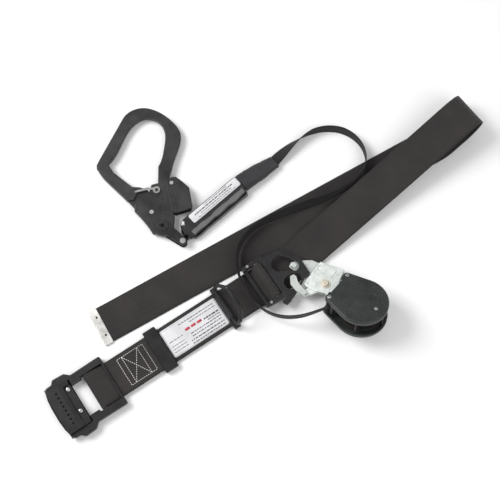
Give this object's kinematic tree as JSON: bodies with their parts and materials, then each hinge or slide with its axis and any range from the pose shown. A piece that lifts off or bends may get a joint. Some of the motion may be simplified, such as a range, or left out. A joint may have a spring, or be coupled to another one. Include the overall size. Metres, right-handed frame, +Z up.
{
  "type": "self retracting lifeline belt",
  "caption": "Waist safety belt with lever buckle, keeper and rings, carrying a spring reel whose webbing lanyard ends in an energy absorber and a large gated hook.",
  "frame": {"origin": "middle of the laid out kit on the floor, measured without the free lanyard", "axes": "+Z up from the floor, +X along the longer side of the laid out kit, +Y along the shorter side"},
  "size_m": [0.5757, 0.4568, 0.0579],
  "materials": {
    "webbing": "tight woven belt webbing",
    "lanyard": "narrow woven webbing",
    "label": "sewn vinyl label",
    "tip_metal": "satin",
    "buckle_plastic": "fine moulded grain",
    "dark_steel": "black enamel, worn edges",
    "bar_steel": "dark polished",
    "bright_steel": "bright",
    "zinc": "zinc plated",
    "reel_case": "moulded, faint rings",
    "spool_plastic": "moulded",
    "brass": "plain",
    "spring_steel": "blued",
    "hook_black": "satin black coat",
    "film": "glossy shrink film",
    "pack_fabric": "folded tear webbing",
    "sleeve_fabric": "woven sleeve"
  },
  "bodies": {
    "belt": {"belt_strip": "webbing", "belt_rise": "webbing", "belt_tail": "webbing", "tail_tip": "tip_metal", "tail_rivets": "dark_steel", "belt_label": "label", "buckle_frame": "buckle_plastic", "buckle_bar": "bar_steel", "lever_pin": "bright_steel", "lever_spring": "spring_steel", "dring_plate": "dark_steel", "ring_frame": "dark_steel", "ring_bar": "bar_steel", "ring_rivets": "bright_steel", "absorber_loop": "lanyard", "absorber_cover": "film", "absorber_pack": "pack_fabric", "absorber_label": "label", "absorber_sleeve": "sleeve_fabric", "lanyard_webbing": "lanyard"},
    "keeper": {"belt_keeper": "buckle_plastic"},
    "lever": {"buckle_lever": "buckle_plastic", "lever_rivets": "bright_steel", "pinch_bar": "bar_steel"},
    "dring": {"d_ring": "dark_steel"},
    "reel": {"reel_top_cover": "reel_case", "reel_bottom_cover": "reel_case", "ear_rivets": "bright_steel", "spacer_posts": "bright_steel", "cover_screw": "bright_steel", "reel_shaft": "bright_steel", "webbing_lead": "lanyard", "power_spring": "spring_steel", "spring_cup": "zinc", "ratchet_ring": "dark_steel", "roller_pin": "bright_steel", "connector_body": "zinc", "connector_rivet": "zinc", "gate_spring": "spring_steel"},
    "spool": {"spool": "spool_plastic", "spool_bush": "brass", "wound_webbing": "lanyard", "pawl_pins": "bright_steel", "pawl_springs": "spring_steel"},
    "pawl_one": {"pawl_a": "bright_steel"},
    "pawl_two": {"pawl_b": "bright_steel"},
    "roller_one": {"roller_a": "zinc"},
    "roller_two": {"roller_b": "zinc"},
    "snap_gate": {"snap_gate": "zinc"},
    "shackle": {"shackle": "dark_steel", "eye_bolt": "dark_steel", "shackle_pin": "bright_steel"},
    "hook": {"hook_body": "hook_black", "gate_pin": "dark_steel", "lever_rivet": "dark_steel", "link_pin": "bright_steel"},
    "hook_gate": {"hook_gate": "hook_black"},
    "safety_lever": {"safety_lever": "hook_black"},
    "lock_link": {"lock_link": "bright_steel"}
  },
  "joints": [
    {"name": "keeper_slide", "type": "slide", "parent": "belt", "child": "keeper", "axis": [0.8339, 0.5519, 0], "range_m": [-0.035, 0]},
    {"name": "lever_lift", "type": "hinge", "parent": "belt", "child": "lever", "pos_m": [-0.26659, -0.19771, 0.0074], "axis": [0.5519, -0.8339, 0], "range_deg": [0, 55]},
    {"name": "dring_fold", "type": "hinge", "parent": "belt", "child": "dring", "pos_m": [-0.05978, -0.06083, 0.0104], "axis": [-0.5519, 0.8339, 0], "range_deg": [-90, 33]},
    {"name": "reel_swing", "type": "hinge", "parent": "belt", "child": "reel", "pos_m": [0.04673, -0.01545, 0.0127], "axis": [-0.606, -0.7955, 0], "range_deg": [0, 3]},
    {"name": "gate_open", "type": "hinge", "parent": "reel", "child": "snap_gate", "pos_m": [0.0708, -0.0319, 0.01383], "axis": [-0.187, 0.1425, 0.972], "range_deg": [0, 16], "stiffness_Nm_per_rad": 0.03, "springref_deg": -17.19},
    {"name": "spool_spin", "type": "hinge", "parent": "reel", "child": "spool", "pos_m": [0.1133, -0.06547, 0.03278], "axis": [0, 0.342, 0.9397], "continuous": true},
    {"name": "pawl_one_swing", "type": "hinge", "parent": "spool", "child": "pawl_one", "pos_m": [0.09853, -0.0506, 0.03865], "axis": [0, -0.342, -0.9397], "range_deg": [0, 8], "stiffness_Nm_per_rad": 0.002, "springref_deg": -5.73},
    {"name": "pawl_two_swing", "type": "hinge", "parent": "spool", "child": "pawl_two", "pos_m": [0.12807, -0.07308, 0.04683], "axis": [0, -0.342, -0.9397], "range_deg": [0, 8], "stiffness_Nm_per_rad": 0.002, "springref_deg": -5.73},
    {"name": "roller_one_spin", "type": "hinge", "parent": "reel", "child": "roller_one", "pos_m": [0.07225, -0.06126, 0.02992], "axis": [0, 0.342, 0.9397], "continuous": true},
    {"name": "roller_two_spin", "type": "hinge", "parent": "reel", "child": "roller_two", "pos_m": [0.07687, -0.06755, 0.03221], "axis": [0, 0.342, 0.9397], "continuous": true},
    {"name": "shackle_turn", "type": "hinge", "parent": "belt", "child": "shackle", "pos_m": [-0.11604, 0.02758, 0.0072], "axis": [0, 0, 1], "range_deg": [0, 30]},
    {"name": "hook_turn", "type": "hinge", "parent": "shackle", "child": "hook", "pos_m": [-0.1429, 0.04825, 0.0072], "axis": [0, 0, 1], "range_deg": [0, 45]},
    {"name": "hook_gate_open", "type": "hinge", "parent": "hook", "child": "hook_gate", "pos_m": [-0.15819, 0.0681, 0.0072], "axis": [0, 0, -1], "range_deg": [0, 24], "stiffness_Nm_per_rad": 0.04, "springref_deg": -17.19},
    {"name": "safety_squeeze", "type": "hinge", "parent": "hook", "child": "safety_lever", "pos_m": [-0.13271, 0.10859, 0.0072], "axis": [0, 0, -1], "range_deg": [0, 10], "stiffness_Nm_per_rad": 0.04, "springref_deg": -17.19},
    {"name": "link_turn", "type": "hinge", "parent": "hook", "child": "lock_link", "pos_m": [-0.15254, 0.09887, 0.012], "axis": [0, 0, 1], "range_deg": [0, 15]}
  ],
  "couplings": [
    {"joint": "link_turn", "follows": "safety_squeeze", "ratio": 1.5}
  ]
}
